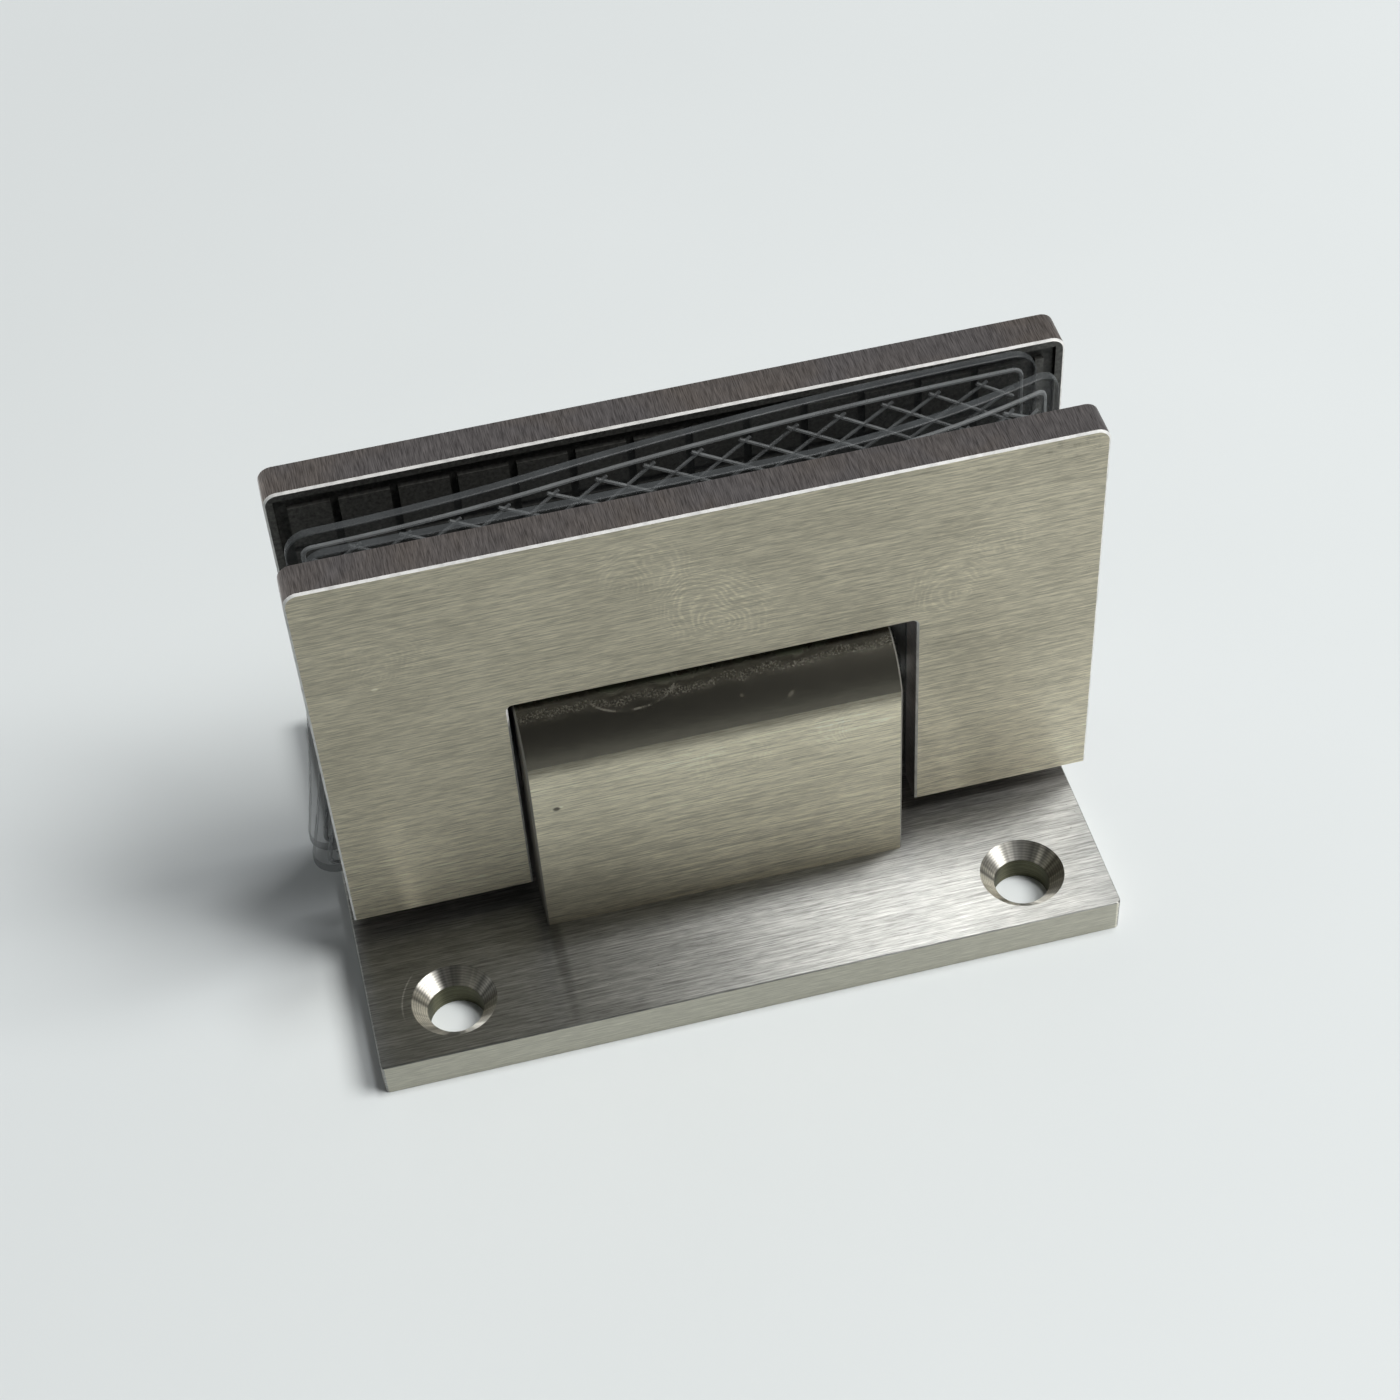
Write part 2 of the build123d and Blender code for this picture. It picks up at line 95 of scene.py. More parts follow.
class Graph:
    """A material's node tree, with short calls for the nodes that the finishes share."""

    def __init__(self, name):
        self.material = bpy.data.materials.new(name)
        self.material.use_nodes = True
        self.tree = self.material.node_tree
        self.tree.nodes.clear()
        self.coords = self.node("ShaderNodeTexCoord")
        self.millimetres = self.scaled(self.coords.outputs["Object"], (PER_MM, PER_MM, PER_MM))

    def node(self, kind, **settings):
        made = self.tree.nodes.new(kind)
        for key, value in settings.items():
            setattr(made, key, value)
        return made

    def put(self, socket, value):
        if isinstance(value, bpy.types.NodeSocket):
            self.tree.links.new(value, socket)
        else:
            socket.default_value = value

    def math(self, operation, first, second=0.0, clamp=False):
        made = self.node("ShaderNodeMath", operation=operation, use_clamp=clamp)
        self.put(made.inputs[0], first)
        self.put(made.inputs[1], second)
        return made.outputs[0]

    def times(self, first, *rest):
        for other in rest:
            first = self.math("MULTIPLY", first, other)
        return first

    def vector(self, operation, first, second=(0.0, 0.0, 0.0)):
        made = self.node("ShaderNodeVectorMath", operation=operation)
        self.put(made.inputs[0], first)
        self.put(made.inputs[1], second)
        return made.outputs["Value" if operation in ("LENGTH", "DISTANCE", "DOT_PRODUCT") else "Vector"]

    def scaled(self, vector, factors):
        return self.vector("MULTIPLY", vector, factors)

    def parts(self, vector):
        made = self.node("ShaderNodeSeparateXYZ")
        self.put(made.inputs[0], vector)
        return made.outputs

    def joined(self, x, y, z):
        made = self.node("ShaderNodeCombineXYZ")
        for socket, value in zip(made.inputs, (x, y, z)):
            self.put(socket, value)
        return made.outputs[0]

    def noise(self, vector, scale, detail=2.0, roughness=0.5, distortion=0.0):
        made = self.node("ShaderNodeTexNoise")
        self.put(made.inputs["Vector"], vector)
        made.inputs["Scale"].default_value = scale
        made.inputs["Detail"].default_value = detail
        made.inputs["Roughness"].default_value = roughness
        made.inputs["Distortion"].default_value = distortion
        return made.outputs["Fac"]

    def span(self, value, low, high, to_low=0.0, to_high=1.0, smooth=False):
        made = self.node("ShaderNodeMapRange")
        made.interpolation_type = "SMOOTHSTEP" if smooth else "LINEAR"
        self.put(made.inputs["Value"], value)
        made.inputs["From Min"].default_value = low
        made.inputs["From Max"].default_value = high
        made.inputs["To Min"].default_value = to_low
        made.inputs["To Max"].default_value = to_high
        return made.outputs["Result"]

    def mix(self, factor, first, second):
        made = self.node("ShaderNodeMix", data_type="RGBA")
        self.put(made.inputs["Factor"], factor)
        self.put(made.inputs[6], first)
        self.put(made.inputs[7], second)
        return made.outputs[2]

    def blend(self, factor, first, second):
        made = self.node("ShaderNodeMix", data_type="FLOAT")
        self.put(made.inputs[0], factor)
        self.put(made.inputs[2], first)
        self.put(made.inputs[3], second)
        return made.outputs[0]

    def blend_vector(self, factor, first, second):
        made = self.node("ShaderNodeMix", data_type="VECTOR")
        self.put(made.inputs[0], factor)
        self.put(made.inputs[4], first)
        self.put(made.inputs[5], second)
        return made.outputs[1]

    def tint(self, colour, amount):
        """Colour times a grey amount."""
        made = self.node("ShaderNodeVectorMath", operation="SCALE")
        self.put(made.inputs[0], colour[:3] if isinstance(colour, tuple) else colour)
        self.put(made.inputs["Scale"], amount)
        return made.outputs["Vector"]

    def bump(self, height, strength, distance):
        made = self.node("ShaderNodeBump")
        made.inputs["Strength"].default_value = strength
        made.inputs["Distance"].default_value = distance
        self.put(made.inputs["Height"], height)
        return made.outputs["Normal"]

    def spot(self, centre, radii, edge=0.3, turn=0.0):
        """A soft mask round one place: 1 inside an ellipsoid, 0 outside it."""
        moved = self.vector("SUBTRACT", self.millimetres, centre)
        if turn:
            rotate = self.node("ShaderNodeVectorRotate", rotation_type="Y_AXIS")
            self.put(rotate.inputs["Vector"], moved)
            rotate.inputs["Angle"].default_value = math.radians(turn)
            moved = rotate.outputs[0]
        reach = self.vector("LENGTH", self.vector("DIVIDE", moved, radii))
        return self.span(reach, 1.0 - edge, 1.0 + edge, 1.0, 0.0, smooth=True)

    def ridges(self, centre, spacing, squeeze, turn):
        """The loops of a fingerprint: rings about a centre, bent by a slow noise."""
        moved = self.vector("SUBTRACT", self.millimetres, centre)
        rotate = self.node("ShaderNodeVectorRotate", rotation_type="Y_AXIS")
        self.put(rotate.inputs["Vector"], moved)
        rotate.inputs["Angle"].default_value = math.radians(turn)
        below = self.vector("ADD", rotate.outputs[0], (1.2, 0.0, 3.4))
        bent = self.scaled(below, (1.0, 0.0, squeeze))
        swirl = self.noise(self.millimetres, 0.16, 1.0, 0.4)
        reach = self.math("ADD", self.vector("LENGTH", bent), self.times(swirl, 6.0))
        wave = self.math("SINE", self.times(reach, 2 * math.pi / spacing))
        broken = self.span(self.noise(self.millimetres, 1.4, 2.0), 0.35, 0.6)
        return self.times(self.span(wave, -0.3, 0.8), broken)

    def finish(self, **sockets):
        shader = self.node("ShaderNodeBsdfPrincipled")
        output = self.node("ShaderNodeOutputMaterial")
        self.tree.links.new(shader.outputs[0], output.inputs["Surface"])
        for key, value in sockets.items():
            self.put(shader.inputs[key.replace("_", " ")], value)
        return self.material


def colour(red, green, blue):
    return (red, green, blue, 1.0)


STEEL = colour(0.64, 0.595, 0.465)
STEEL_EDGE = colour(0.36, 0.325, 0.32)
# Near-white of the painted highlight on the clamp plates' chamfers
CHAMFER_HIGHLIGHT = colour(0.97, 0.965, 0.94)
STEEL_RUSSET = colour(0.385, 0.33, 0.3)
# Near-black of the painted shade in the gap between the clamp plates
GAP_SHADE_DARK = colour(0.075, 0.075, 0.07)
GROUND_SIDE = colour(0.24, 0.23, 0.205)
OLIVE_BORE = colour(0.11, 0.11, 0.07)


def brush_lines(graph, along, length, width, detail=2.0):
    """Streaky noise whose streaks run along one axis, with lengths in millimetres."""
    factors = [1.0 / width] * 3
    factors[along] = 1.0 / length
    return graph.noise(graph.scaled(graph.millimetres, tuple(factors)), 1.0, detail, 0.55)


def smudges(graph, size, seed):
    shifted = graph.vector("ADD", graph.millimetres, (seed, seed * 1.7, seed * 0.6))
    return graph.noise(graph.scaled(shifted, (1 / size, 1 / size, 1 / size)), 1.0, 4.0, 0.55, 0.6)


class Brushed(Graph):
    """Stainless steel brushed along X, as a base that each part's own marks are added to."""

    def __init__(self, name, seed, face=STEEL, rough=0.37, metallic=1.0):
        super().__init__(name)
        self.place = self.parts(self.millimetres)
        self.facing = [self.math("ABSOLUTE", part) for part in self.parts(self.coords.outputs["Normal"])]
        self.fine = brush_lines(self, 0, 1.9, 0.11, 3.0)
        self.long = brush_lines(self, 0, 12.0, 0.24, 3.0)
        self.cross = brush_lines(self, 1, 1.8, 0.11, 3.0)
        self.patches = smudges(self, 14.0, seed)
        streaks = self.math("ADD", self.times(self.fine, 0.6), self.times(self.long, 0.4))
        amount = self.times(
            self.span(streaks, 0.36, 0.64, 0.64, 1.36),
            self.span(self.patches, 0.3, 0.7, 0.92, 1.08),
        )
        self.base = self.tint(face, amount)
        self.roughness = self.span(streaks, 0.3, 0.7, rough - 0.03, rough + 0.03)
        self.metallic = metallic
        self.height = streaks
        self.surface = self.node("ShaderNodeNewGeometry").outputs["Normal"]
        self.ends = self.span(self.facing[0], 0.9, 0.95)
        along = self.vector("CROSS_PRODUCT", self.surface, (1.0, 0.0, 0.0))
        self.tangent = self.blend_vector(self.ends, along, (0.0, 0.7, 0.7))

    def paint(self, mask, base, roughness=None, metallic=None):
        self.base = self.mix(mask, self.base, base)
        if roughness is not None:
            self.roughness = self.blend(mask, self.roughness, roughness)
        if metallic is not None:
            self.metallic = self.blend(mask, self.metallic, metallic)

    def lift(self, mask, amount):
        """Brightens the base by a share, or darkens it where the amount is negative."""
        self.base = self.tint(self.base, self.math("ADD", self.times(mask, amount), 1.0))

    def cross_brush(self, mask, edge):
        stained = self.mix(self.span(self.patches, 0.4, 0.62), edge, STEEL_RUSSET)
        self.paint(mask, self.tint(stained, self.span(self.cross, 0.32, 0.68, 0.55, 1.5)), 0.4, 1.0)
        self.height = self.blend(mask, self.height, self.cross)
        across = self.blend_vector(self.ends, (1.0, 0.0, 0.0), (0.0, 0.7, 0.7))
        self.tangent = self.blend_vector(mask, self.tangent, across)

    def done(self):
        return self.finish(
            Base_Color=self.base,
            Metallic=self.metallic,
            Roughness=self.roughness,
            Anisotropic=1.0,
            Tangent=self.tangent,
            Normal=self.bump(self.height, 0.1, 0.00002),
        )


def fingerprint(steel, centre, radii, turn, spacing, amount):
    mask = steel.spot(centre, radii, 0.35, turn)
    steel.lift(steel.times(mask, steel.ridges(centre, spacing, 0.72, turn)), amount)


def clamp_finish():
    steel = Brushed("clamp_steel", 3.0, rough=0.4, metallic=0.9)
    across = steel.facing[1]
    depth = steel.math("ABSOLUTE", steel.place[1])
    narrow = steel.span(across, 0.2, 0.35, 1.0, 0.0)
    front = (0.0, -clamp_outer, 0.0)

    # Painted light: legs a little brighter towards their lower ends. Then fingerprints, tiny specks, a stained
    # corner and a nick
    steel.lift(steel.span(steel.place[2], 36.0, 12.0, smooth=True), 0.25)
    fingerprint(steel, (1.6, front[1], 49.6), (5.6, 2.0, 7.4), 32.0, 0.6, 0.25)
    fingerprint(steel, (-6.0, front[1], 57.4), (5.4, 2.0, 4.2), -20.0, 0.58, 0.17)
    fingerprint(steel, (28.6, front[1], 45.6), (5.4, 2.0, 4.4), 58.0, 0.6, 0.16)
    fingerprint(steel, (34.8, front[1], 51.8), (4.0, 2.0, 5.2), 12.0, 0.62, 0.1)
    fingerprint(steel, (-35.0, front[1], 52.0), (4.6, 2.0, 5.4), -8.0, 0.6, 0.09)
    grime = steel.noise(steel.millimetres, 0.9, 3.0, 0.65)
    specks = steel.span(steel.noise(steel.millimetres, 2.6, 2.0, 0.5), 0.735, 0.77)
    corner = steel.spot((43.6, front[1], 62.2), (4.6, 2.0, 2.6), 0.6)
    steel.lift(steel.times(specks, 1.0), -0.3)
    steel.lift(steel.times(corner, steel.span(grime, 0.55, 0.75)), -0.35)
    steel.lift(steel.spot((-36.8, front[1], 46.8), (0.35, 2.0, 0.22), 0.5), 0.5)

    # Narrow edges brushed across, and the thin chamfers with a painted highlight: near-white and barely metallic,
    # so they show as bright lines
    steel.cross_brush(narrow, STEEL_EDGE)
    outer = steel.math("GREATER_THAN", depth, clamp_outer - 0.45)
    inner = steel.math("LESS_THAN", depth, clamp_inner + 0.45)
    slanted = steel.times(steel.span(across, 0.35, 0.45), steel.span(across, 0.85, 0.93, 1.0, 0.0))
    rim = steel.times(slanted, steel.math("MAXIMUM", outer, inner))
    highlight_breakup = steel.span(steel.noise(steel.millimetres, 0.8, 3.0, 0.6), 0.3, 0.6, 0.75, 1.0)
    steel.paint(rim, steel.tint(CHAMFER_HIGHLIGHT, highlight_breakup), 0.6, 0.12)

    # Painted shade: the inner faces with their grip pattern, and the relief behind the notch's lip, painted
    # near-black for the dark gap between the plates; the grip's tops are painted half as bright again
    grain = steel.noise(steel.millimetres, 2.2, 4.0, 0.6)
    sunk = steel.math("LESS_THAN", depth, clamp_inner + 0.72)
    flat = steel.math("GREATER_THAN", across, 0.93)
    below = steel.math("LESS_THAN", steel.place[2], clamp_top - 0.9)
    middle = (front_low[0] + front_high[0]) / 2
    span_x = steel.math("ABSOLUTE", steel.math("SUBTRACT", steel.place[0], middle))
    within = steel.math("LESS_THAN", span_x, (front_high[0] - front_low[0]) / 2 - 0.5)
    gap_shade = steel.times(sunk, steel.math("MAXIMUM", flat, steel.times(below, within)))
    tops = steel.times(gap_shade, steel.math("LESS_THAN", depth, clamp_inner + 0.1))
    steel.paint(gap_shade, steel.tint(GAP_SHADE_DARK, steel.span(grain, 0.3, 0.7, 0.6, 1.5)), 0.5, 0.5)
    steel.lift(tops, 0.5)
    return steel.done()


def block_finish():
    steel = Brushed("block_steel", 11.0, colour(0.76, 0.71, 0.555), metallic=0.94)
    place = steel.place
    sides = steel.math("GREATER_THAN", steel.facing[0], 0.6)
    nose = steel.math("GREATER_THAN", place[2], NOSE_LINE + 0.02)
    level = place[2]

    # Painted light and shade on the flat: a little lighter a few millimetres below its top end, and painted shade
    # darkening it softly towards its lower left corner and its top end; above it is the ground nose, painted dark,
    # partly its own tone and partly painted shade
    steel.lift(steel.spot((0.0, block_front, NOSE_LINE - 3.6), (40.0, 2.0, 2.0), 0.6), 0.1)
    steel.lift(steel.spot((-21.0, block_front, 8.0), (13.0, 3.0, 9.0), 0.7), -0.26)
    ground = steel.span(steel.fine, 0.3, 0.7, 0.85, 1.15)
    steel.paint(nose, steel.tint(colour(0.36, 0.335, 0.27), ground), 0.19, 1.0)
    # Painted shade: a dark band across the line where the flat meets the nose
    rise = steel.span(level, NOSE_LINE - 2.5, NOSE_LINE - 0.1, smooth=True)
    fall = steel.span(level, NOSE_LINE + 0.4, NOSE_LINE + 2.4, 1.0, 0.0, smooth=True)
    steel.lift(steel.times(rise, fall), -0.6)

    # Band of fine bright specks under the notch's edge; above it, painted shade darkening the nose's top, and a
    # ragged dark green band with a drop of dried oil in it
    wander = steel.noise(steel.scaled(steel.millimetres, (0.16, 0.16, 0.16)), 1.0, 3.0, 0.6)
    band_level = steel.math("ADD", level, steel.span(wander, 0.3, 0.7, -0.35, 0.35))
    band = steel.times(
        steel.span(band_level, 37.2, 37.9, smooth=True),
        steel.span(band_level, 38.0, 38.4, 1.0, 0.0, smooth=True),
    )
    specks = steel.span(steel.noise(steel.millimetres, 4.6, 3.0, 0.75), 0.42, 0.72)
    steel.paint(steel.times(band, specks, 0.6), colour(0.5, 0.485, 0.42), 0.5, 0.6)
    # Painted shade: the nose darker right under the notch's edge
    notch_edge_shade = steel.times(nose, steel.span(level, 38.15, 38.5, smooth=True))
    steel.lift(notch_edge_shade, -0.5)
    drip = steel.spot((-8.6, -10.8, 38.6), (5.2, 5.0, 1.7), 0.03)
    drip_core = steel.spot((-8.6, -10.8, 38.6), (5.0, 5.0, 1.52), 0.03)
    worn = steel.span(steel.noise(steel.millimetres, 0.9, 3.0, 0.6), 0.4, 0.6, 0.15, 1.0)
    outline = steel.times(steel.math("SUBTRACT", drip, drip_core, clamp=True), worn)
    ragged = steel.span(steel.noise(steel.millimetres, 0.75, 3.0, 0.6), 0.42, 0.5)
    dark_green_band = steel.times(steel.span(band_level, 38.35, 38.6), steel.math("MAXIMUM", ragged, drip_core))
    steel.paint(steel.times(dark_green_band, 0.75), colour(0.07, 0.085, 0.05), 0.3, 0.4)
    steel.paint(steel.times(outline, 0.4), colour(0.5, 0.48, 0.42), 0.5, 0.5)

    # Nick, small scratches and fingerprints on the front flat
    steel.lift(steel.spot((-19.2, block_front, 25.8), (0.42, 1.0, 0.3), 0.4), -0.8)
    steel.lift(steel.spot((-18.7, block_front, 26.0), (0.3, 1.0, 0.14), 0.4), 0.5)
    steel.lift(steel.spot((9.2, -13.2, 35.6), (0.5, 1.0, 0.2), 0.4, 30.0), 1.6)
    steel.lift(steel.spot((3.6, -13.4, 36.4), (0.25, 1.0, 0.15), 0.4), 1.6)
    fingerprint(steel, (14.6, block_front, 30.6), (5.0, 2.0, 3.0), 60.0, 0.62, 0.13)
    fingerprint(steel, (1.5, block_front, 27.6), (5.4, 2.0, 3.6), 20.0, 0.62, 0.09)

    steel.paint(sides, steel.tint(GROUND_SIDE, ground), 0.45, 0.45)
    return steel.done()


def wall_finish():
    steel = Brushed("wall_plate_steel", 23.0, colour(0.415, 0.412, 0.39), 0.335)
    place = steel.place

    # Turned bores and countersinks: grooves run round each hole's own axis
    side_x = steel.math("SIGN", place[0])
    side_y = steel.math("SIGN", place[1])
    local_x = steel.math("SUBTRACT", place[0], steel.times(side_x, WALL_HOLE[0]))
    local_y = steel.math("SUBTRACT", place[1], steel.times(side_y, WALL_HOLE[1]))
    radial = steel.joined(local_x, local_y, 0.0)
    reach = steel.vector("LENGTH", radial)
    around = steel.vector("CROSS_PRODUCT", radial, (0.0, 0.0, 1.0))
    near = steel.math("LESS_THAN", reach, COUNTERSINK_RADIUS + 0.1)
    lowered = steel.math("LESS_THAN", steel.facing[2], 0.97)
    turned = steel.times(near, lowered)
    bore = steel.times(turned, steel.math("LESS_THAN", steel.facing[2], 0.3))
    rings = steel.math("SINE", steel.times(place[2], 26.0))
    wobble = steel.noise(steel.joined(reach, place[2], 0.0), 6.0, 2.0)
    sector = steel.noise(steel.vector("NORMALIZE", radial), 2.3, 2.0, 0.6)
    chatter = steel.times(steel.span(rings, -1.0, 1.0, 0.75, 1.1), steel.span(sector, 0.38, 0.62, 0.35, 1.15))
    steel.paint(turned, steel.tint(colour(0.76, 0.74, 0.68), chatter), 0.36)
    steel.paint(bore, steel.tint(OLIVE_BORE, steel.span(wobble, 0.3, 0.7, 0.5, 1.5)), 0.35, 0.9)
    steel.height = steel.blend(turned, steel.height, rings)
    slope = steel.vector("CROSS_PRODUCT", steel.surface, around)
    steel.tangent = steel.blend_vector(turned, steel.tangent, slope)

    # Long edges brushed along, ends brushed across
    rim_y = steel.math("GREATER_THAN", steel.facing[1], 0.9)
    outline = steel.math("GREATER_THAN", steel.math("ABSOLUTE", place[1]), plate_high[1] - 0.3)
    along = steel.tint(colour(0.6, 0.585, 0.5), steel.span(steel.fine, 0.3, 0.7, 0.85, 1.15))
    steel.paint(steel.times(rim_y, outline), along, 0.37)
    ends = steel.math("GREATER_THAN", steel.facing[0], 0.9)
    steel.cross_brush(steel.times(ends, steel.math("SUBTRACT", 1.0, near)), colour(0.45, 0.44, 0.4))

    # A painted reflection of the knuckle block's left edge as a dark streak, a fine scratch beside the left hole,
    # long bright streaks and tiny specks
    steel.lift(steel.spot((-21.5, -18.0, plate_top), (0.7, 9.0, 0.5), 0.6), -0.3)
    arc = steel.vector("DISTANCE", steel.millimetres, (-33.2, -22.9, plate_top))
    thin = steel.span(steel.math("ABSOLUTE", steel.math("SUBTRACT", arc, 8.0)), 0.05, 0.13, 1.0, 0.0)
    wedge = steel.spot((-40.6, -20.4, plate_top), (2.4, 3.0, 1.0), 0.3)
    steel.lift(steel.times(thin, wedge), 0.8)
    steel.lift(steel.span(steel.long, 0.42, 0.66), 0.14)
    specks = steel.span(steel.noise(steel.millimetres, 2.2, 2.0, 0.5), 0.74, 0.78)
    steel.lift(specks, -0.3)
    return steel.done()


def plain_steel(name, shade, rough):
    """Turned or ground steel of the small pieces."""
    graph = Graph(name)
    grain = graph.noise(graph.millimetres, 3.0, 3.0, 0.6)
    fine = graph.noise(graph.millimetres, 14.0, 2.0, 0.5)
    return graph.finish(
        Base_Color=graph.tint(shade, graph.span(grain, 0.3, 0.7, 0.85, 1.12)),
        Metallic=1.0,
        Roughness=graph.span(fine, 0.3, 0.7, rough - 0.05, rough + 0.07),
        Normal=graph.bump(fine, 0.1, 0.00002),
    )


def nylon(name):
    graph = Graph(name)
    grain = graph.noise(graph.millimetres, 2.0, 3.0, 0.5)
    return graph.finish(
        Base_Color=graph.mix(grain, colour(0.10, 0.10, 0.10), colour(0.15, 0.15, 0.14)),
        Roughness=graph.span(grain, 0.3, 0.7, 0.4, 0.55),
        Normal=graph.bump(grain, 0.1, 0.00003),
    )


def clear_plastic(name, tone, alpha, rough):
    """Smoky clear soft plastic, a little cloudy."""
    graph = Graph(name)
    cloud = graph.noise(graph.millimetres, 0.25, 3.0, 0.5)
    fine = graph.noise(graph.millimetres, 1.6, 3.0, 0.6)
    return graph.finish(
        Base_Color=graph.tint(tone, graph.span(cloud, 0.3, 0.7, 0.85, 1.15)),
        Roughness=graph.span(fine, 0.3, 0.7, rough - 0.05, rough + 0.07),
        Alpha=graph.span(cloud, 0.3, 0.7, alpha - 0.04, alpha + 0.04),
        Normal=graph.bump(fine, 0.08, 0.0001),
    )


def dress(material, *names):
    for name in names:
        slots = nodes[name].material_slots
        if slots:
            for slot in slots:
                slot.material = material
        else:
            nodes[name].data.materials.append(material)


def front_line(x):
    """Depth of the front gasket's middle: flat, then curling in towards the right."""
    run = max(0.0, x - 10.0)
    return -4.45 + 110.0 - math.sqrt(110.0**2 - run**2)


def rear_line(x):
    """Depth of the rear gasket's middle: an S from the middle of the gap to the rear plate."""
    first, second = 227.35, 424.3
    if x < -44.0:
        return -1.0
    if x < -14.0:
        return -1.0 + first - math.sqrt(first**2 - (x + 44.0) ** 2)
    if x < 42.0:
        return 4.7 - second + math.sqrt(second**2 - (42.0 - x) ** 2)
    return 4.7


def gasket_loop(inset, splay, arc_steps=7):
    """Outline of a gasket as points (x, z), drawn inset from its edges, with round corners."""
    top = GASKET_TOP - inset
    notch = GASKET_NOTCH + inset
    foot = GASKET_FOOT + inset
    slope = splay / (GASKET_TOP - GASKET_FOOT)
    outer = GASKET_HALF - inset
    inner = GASKET_INNER + inset
    outer_foot = outer + (top - foot) * slope
    inner_foot = inner + (notch - foot) * slope
    head = GASKET_CORNER - inset
    leg = GASKET_LEG_CORNER - inset
    edge = []
    for step in range(2, 9):
        share = step / 10
        edge.append((outer + (outer_foot - outer) * share**1.9, top + (foot - top) * share, 0.0))
    right = [(outer, top, head), *edge, (outer_foot, foot, leg), (inner_foot, foot, leg), (inner, notch, 0.0)]
    corners = right + [(-x, z, radius) for x, z, radius in reversed(right)]
    points = []
    for index, (x, z, radius) in enumerate(corners):
        here = Vector((x, z))
        if radius <= 0:
            points.append(here)
            continue
        before = (Vector(corners[index - 1][:2]) - here).normalized()
        after = (Vector(corners[(index + 1) % len(corners)][:2]) - here).normalized()
        half = before.angle(after) / 2
        centre = here + (before + after).normalized() * radius / math.sin(half)
        start = here + before * radius / math.tan(half) - centre
        end = here + after * radius / math.tan(half) - centre
        turn = start.angle_signed(end)
        for step in range(arc_steps + 1):
            angle = math.atan2(start.y, start.x) - turn * step / arc_steps
            points.append(centre + radius * Vector((math.cos(angle), math.sin(angle))))
    return points


def add_loop(mesh, points, depth):
    return [mesh.verts.new((point.x, depth, point.y)) for point in points]


def bridge(mesh, first, second):
    count = len(first)
    for index in range(count):
        after = (index + 1) % count
        mesh.faces.new((first[index], first[after], second[after], second[index]))


def lattice_bar(mesh, start, end, face_depth):
    """One raised ridge of the lattice, narrower at its top."""
    along = (end - start).normalized()
    side = Vector((-along.y, along.x))
    sections = []
    for place in (start, end):
        section = []
        for across, depth in (
            (-LATTICE_WIDTH / 2, 0.08),
            (-LATTICE_WIDTH / 3.4, -LATTICE_HEIGHT),
            (LATTICE_WIDTH / 3.4, -LATTICE_HEIGHT),
            (LATTICE_WIDTH / 2, 0.08),
        ):
            spot = place + side * across
            section.append(mesh.verts.new((spot.x, face_depth + depth, spot.y)))
        sections.append(section)
    bridge(mesh, sections[0], sections[1])
    mesh.faces.new(list(reversed(sections[0])))
    mesh.faces.new(sections[1])


def inside_runs(loop, origin, direction):
    """The stretches of a line that lie inside a closed outline."""
    side = Vector((-direction.y, direction.x))
    hits = []
    for index, point in enumerate(loop):
        after = loop[(index + 1) % len(loop)]
        first = (point - origin).dot(side)
        second = (after - origin).dot(side)
        if (first < 0) != (second < 0):
            place = point.lerp(after, first / (first - second))
            hits.append((place - origin).dot(direction))
    hits.sort()
    return [(origin + direction * a, origin + direction * b) for a, b in zip(hits[::2], hits[1::2])]


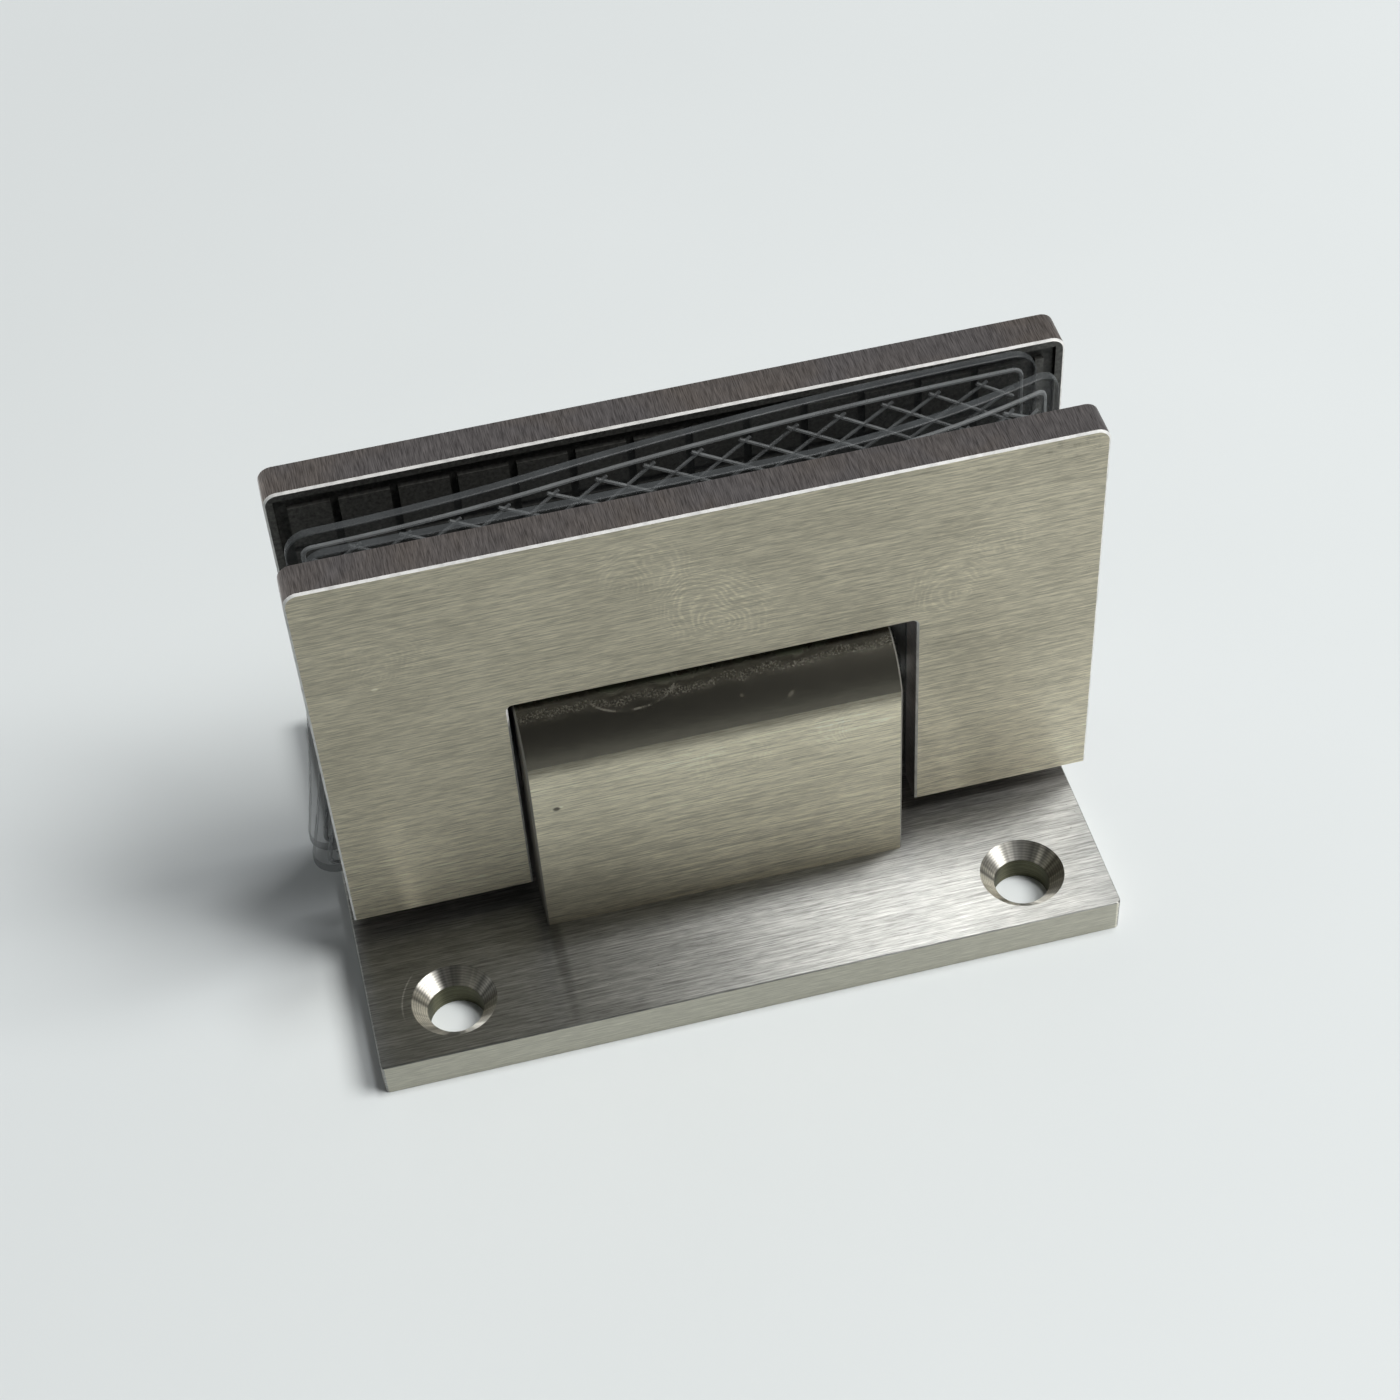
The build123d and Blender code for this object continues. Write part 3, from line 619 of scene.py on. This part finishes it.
def gasket(name, line, centre, splay, *materials):
    mesh = bmesh.new()
    face = -GASKET_THICKNESS / 2
    loops = [
        add_loop(mesh, gasket_loop(inset, splay), depth)
        for inset, depth in (
            (GASKET_RIM, face),
            (GASKET_RIM * 0.3, face + GASKET_RIM * 0.3),
            (0.0, face + GASKET_RIM),
            (0.0, -face - GASKET_RIM),
            (GASKET_RIM * 0.3, -face - GASKET_RIM * 0.3),
            (GASKET_RIM, -face),
        )
    ]
    for first, second in zip(loops, loops[1:]):
        bridge(mesh, first, second)
    for made in mesh.faces:
        made.material_index = 1
    mesh.faces.new(loops[0])
    mesh.faces.new(list(reversed(loops[-1])))
    sheet_faces = len(mesh.faces)

    half = BEAD_WIDTH / 2
    ring = [
        add_loop(mesh, gasket_loop(BEAD_INSET + inset, splay), face + depth)
        for inset, depth in (
            (-half, 0.1),
            (-half, -BEAD_HEIGHT * 0.45),
            (-half * 0.5, -BEAD_HEIGHT),
            (half * 0.5, -BEAD_HEIGHT),
            (half, -BEAD_HEIGHT * 0.45),
            (half, 0.1),
        )
    ]
    for first, second in zip(ring, ring[1:] + ring[:1]):
        bridge(mesh, first, second)

    field = gasket_loop(LATTICE_INSET, splay)
    for rise in (1.0, -1.0):
        direction = Vector((LATTICE_PITCH / 2, rise * LATTICE_ROW)).normalized()
        for step in range(-26, 27):
            origin = Vector((3.3 + LATTICE_PITCH * step, LATTICE_LEVEL))
            for start, end in inside_runs(field, origin, direction):
                if (end - start).length > 1.0:
                    lattice_bar(mesh, start, end, face)
    mesh.faces.ensure_lookup_table()
    for made in mesh.faces[sheet_faces:]:
        made.material_index = 2
    mesh.normal_update()
    bmesh.ops.triangulate(mesh, faces=[f for f in mesh.faces if len(f.verts) > 4], ngon_method="EAR_CLIP")

    reach = GASKET_HALF + splay
    cuts = int(reach / 1.6)
    for step in range(-cuts, cuts + 1):
        bmesh.ops.bisect_plane(
            mesh,
            geom=mesh.verts[:] + mesh.edges[:] + mesh.faces[:],
            dist=1e-5,
            plane_co=(step * 1.6 + 0.13, 0, 0),
            plane_no=(1, 0, 0),
        )
    for vert in mesh.verts:
        x = vert.co.x + centre
        vert.co = Vector((x, vert.co.y + line(x), vert.co.z)) * MM
    bmesh.ops.recalc_face_normals(mesh, faces=mesh.faces[:])
    data = bpy.data.meshes.new(name)
    mesh.to_mesh(data)
    mesh.free()
    for material in materials:
        data.materials.append(material)
    made = bpy.data.objects.new(name, data)
    bpy.context.scene.collection.objects.link(made)
    return made


def camera():
    data = bpy.data.cameras.new("photo_camera")
    data.sensor_fit = "HORIZONTAL"
    data.sensor_width = 36.0
    focal_pixels = 2775.6
    frame_pixels = 1400.0
    data.lens = focal_pixels / frame_pixels * data.sensor_width
    data.clip_start = 0.01
    data.clip_end = 20.0
    made = bpy.data.objects.new("photo_camera", data)
    bpy.context.scene.collection.objects.link(made)
    made.location = (-0.03980, -0.21964, 0.26987)
    made.rotation_euler = (math.radians(42.0075), math.radians(2.7672), math.radians(-13.6361))
    bpy.context.scene.camera = made


def floor():
    size = 3.0
    mesh = bpy.data.meshes.new("floor")
    corners = [(-size, -size, 0), (size, -size, 0), (size, size, 0), (-size, size, 0)]
    mesh.from_pydata(corners, [], [(0, 1, 2, 3)])
    made = bpy.data.objects.new("floor", mesh)
    bpy.context.scene.collection.objects.link(made)
    made.location.z = plate_low[2] * MM - 0.00005
    graph = Graph("pale_table")
    patch = graph.noise(graph.millimetres, 0.012, 3.0, 0.5)
    pale = graph.mix(patch, colour(0.735, 0.77, 0.775), colour(0.775, 0.81, 0.818))
    material = graph.finish(Base_Color=pale, Roughness=0.5, Specular_IOR_Level=0.2)

    # Far from the object, where the lamps don't reach, the table stays as pale as it is near it
    rays = graph.node("ShaderNodeLightPath")
    seen = graph.math("MAXIMUM", rays.outputs["Is Camera Ray"], rays.outputs["Is Glossy Ray"])
    seen = graph.math("MAXIMUM", seen, rays.outputs["Is Transmission Ray"])
    far = graph.span(graph.vector("LENGTH", graph.millimetres), TABLE_LIT, TABLE_FAR, smooth=True)
    glow = graph.node("ShaderNodeEmission")
    graph.put(glow.inputs["Color"], pale)
    mixed = graph.node("ShaderNodeMixShader")
    output = next(node for node in graph.tree.nodes if node.type == "OUTPUT_MATERIAL")
    lit = output.inputs["Surface"].links[0].from_socket
    graph.put(mixed.inputs[0], graph.times(far, seen))
    graph.put(mixed.inputs[1], lit)
    graph.put(mixed.inputs[2], glow.outputs[0])
    graph.put(output.inputs["Surface"], mixed.outputs[0])
    mesh.materials.append(material)


def area_light(name, place, target, width, height, power, tone):
    data = bpy.data.lights.new(name, "AREA")
    data.shape = "RECTANGLE"
    data.size = width
    data.size_y = height
    data.energy = power
    data.color = tone
    made = bpy.data.objects.new(name, data)
    bpy.context.scene.collection.objects.link(made)
    made.location = place
    made.rotation_euler = (Vector(target) - Vector(place)).to_track_quat("-Z", "Y").to_euler()


def world():
    """A dim room, darkest in front, where the viewer stands, with a pale backdrop."""
    made = bpy.data.worlds.new("studio")
    bpy.context.scene.world = made
    made.use_nodes = True
    tree = made.node_tree
    tree.nodes.clear()

    def node(kind, **settings):
        new = tree.nodes.new(kind)
        for key, value in settings.items():
            setattr(new, key, value)
        return new

    coords = node("ShaderNodeTexCoord")
    split = node("ShaderNodeSeparateXYZ")
    tree.links.new(coords.outputs["Generated"], split.inputs[0])
    level = node("ShaderNodeMapRange", interpolation_type="SMOOTHSTEP")
    tree.links.new(split.outputs[1], level.inputs["Value"])
    level.inputs["From Min"].default_value = -0.15
    level.inputs["From Max"].default_value = 0.4
    level.inputs["To Min"].default_value = 0.04
    level.inputs["To Max"].default_value = 0.3
    rays = node("ShaderNodeLightPath")
    shown = node("ShaderNodeMix", data_type="FLOAT")
    tree.links.new(rays.outputs["Is Camera Ray"], shown.inputs[0])
    tree.links.new(level.outputs[0], shown.inputs[2])
    shown.inputs[3].default_value = 0.8
    background = node("ShaderNodeBackground")
    background.inputs["Color"].default_value = (0.96, 0.99, 1.0, 1.0)
    tree.links.new(shown.outputs[0], background.inputs["Strength"])
    output = node("ShaderNodeOutputWorld")
    tree.links.new(background.outputs[0], output.inputs["Surface"])


camera()
floor()
world()
area_light("key_softbox", (0.98, -0.32, 1.5), (0.0, 0.0, 0.03), 0.85, 0.85, 28.8, (1.0, 0.995, 0.98))
area_light("top_softbox", (0.355, 0.175, 1.75), (0.0, 0.0, 0.0), 0.25, 0.2, 5.8, (0.98, 0.99, 1.0))

dress(clamp_finish(), "front_clamp_plate", "rear_clamp_plate")
dress(block_finish(), "knuckle_block")
dress(wall_finish(), "wall_plate")
dress(
    plain_steel("screw_steel", colour(0.5, 0.49, 0.46), 0.3),
    "block_screw_left",
    "block_screw_right",
    "clamp_screw_lower_left",
    "clamp_screw_upper_left",
    "clamp_screw_lower_right",
    "clamp_screw_upper_right",
    "pin_set_screw_left",
    "pin_set_screw_right",
)
dress(plain_steel("ground_steel", colour(0.55, 0.55, 0.54), 0.25), "pivot_pin", "pressure_block")
dress(plain_steel("spring_steel", colour(0.34, 0.34, 0.35), 0.35), "centring_spring_left", "centring_spring_right")
dress(nylon("nylon"), "pin_bush_left", "pin_bush_right")

sheet_plastic = clear_plastic("clear_gasket", colour(0.10, 0.107, 0.11), 0.14, 0.2)
rim_plastic = clear_plastic("clear_gasket_rim", colour(0.10, 0.108, 0.113), 0.45, 0.3)
# Painted light: the bead and lattice ridges take a copy of the clear plastic three times lighter than the sheet
lit_ridge_plastic = clear_plastic("clear_gasket_ridge_lit", colour(0.3, 0.314, 0.32), 0.52, 0.3)
plastics = (sheet_plastic, rim_plastic, lit_ridge_plastic)
for side, line, centre, splay in (("front", front_line, 1.4, 6.7), ("rear", rear_line, 0.0, 5.1)):
    made = gasket(f"{side}_gasket_sheet", line, centre, splay, *plastics)
    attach(made, "glass_side")
    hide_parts(f"{side}_gasket")

bpy.context.scene.view_settings.view_transform = "Standard"
